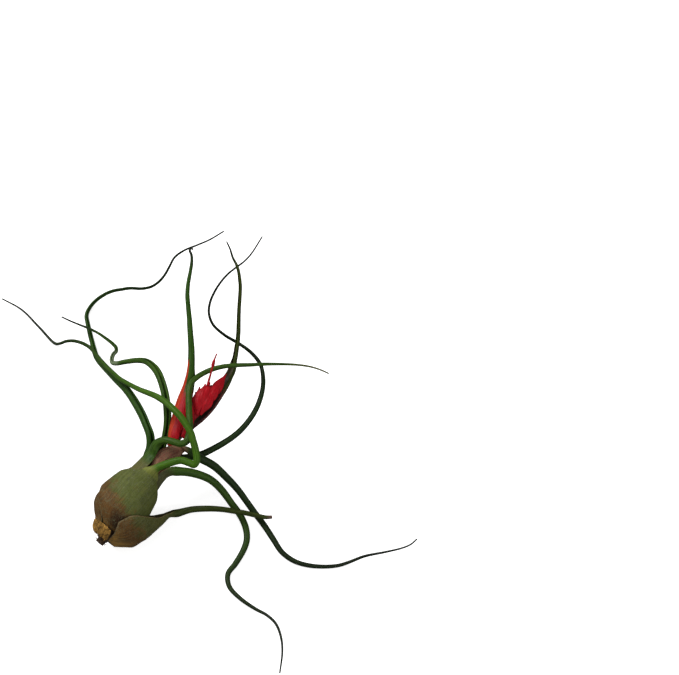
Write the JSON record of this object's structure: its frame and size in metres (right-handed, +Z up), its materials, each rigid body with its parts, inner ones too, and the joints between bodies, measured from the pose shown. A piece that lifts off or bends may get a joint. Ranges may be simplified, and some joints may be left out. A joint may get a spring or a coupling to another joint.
{
  "type": "air plant",
  "caption": "Bulbous air plant in bloom, lying on its side: swollen bulb of leaf sheaths, long rolled twisting leaves and a red flower spike",
  "frame": {"origin": "the middle of the flat spot under the bulb that the plant rests on, on the table", "axes": "+Z up from the table, +X to the right in the picture, +Y away from the viewer"},
  "size_m": [0.2069, 0.2315, 0.0567],
  "materials": {
    "olive_leaf": "satin",
    "green_leaf": "satin",
    "bright_leaf": "satin",
    "bark": "matte",
    "straw": "matte",
    "orange_red_bract": "satin",
    "maroon_bract": "satin",
    "crimson_bract": "satin"
  },
  "bodies": {
    "root": {"leaf_1": "olive_leaf", "leaf_2": "green_leaf", "leaf_3": "green_leaf", "leaf_4": "green_leaf", "leaf_5": "green_leaf", "leaf_6": "bright_leaf", "leaf_7": "green_leaf", "leaf_8": "green_leaf", "stem": "bark", "dry_scale": "straw", "scape_leaf_left": "orange_red_bract", "scape_leaf_right": "maroon_bract", "stalk_bract": "crimson_bract", "flower_spike": "crimson_bract", "flower": "crimson_bract"}
  },
  "joints": []
}
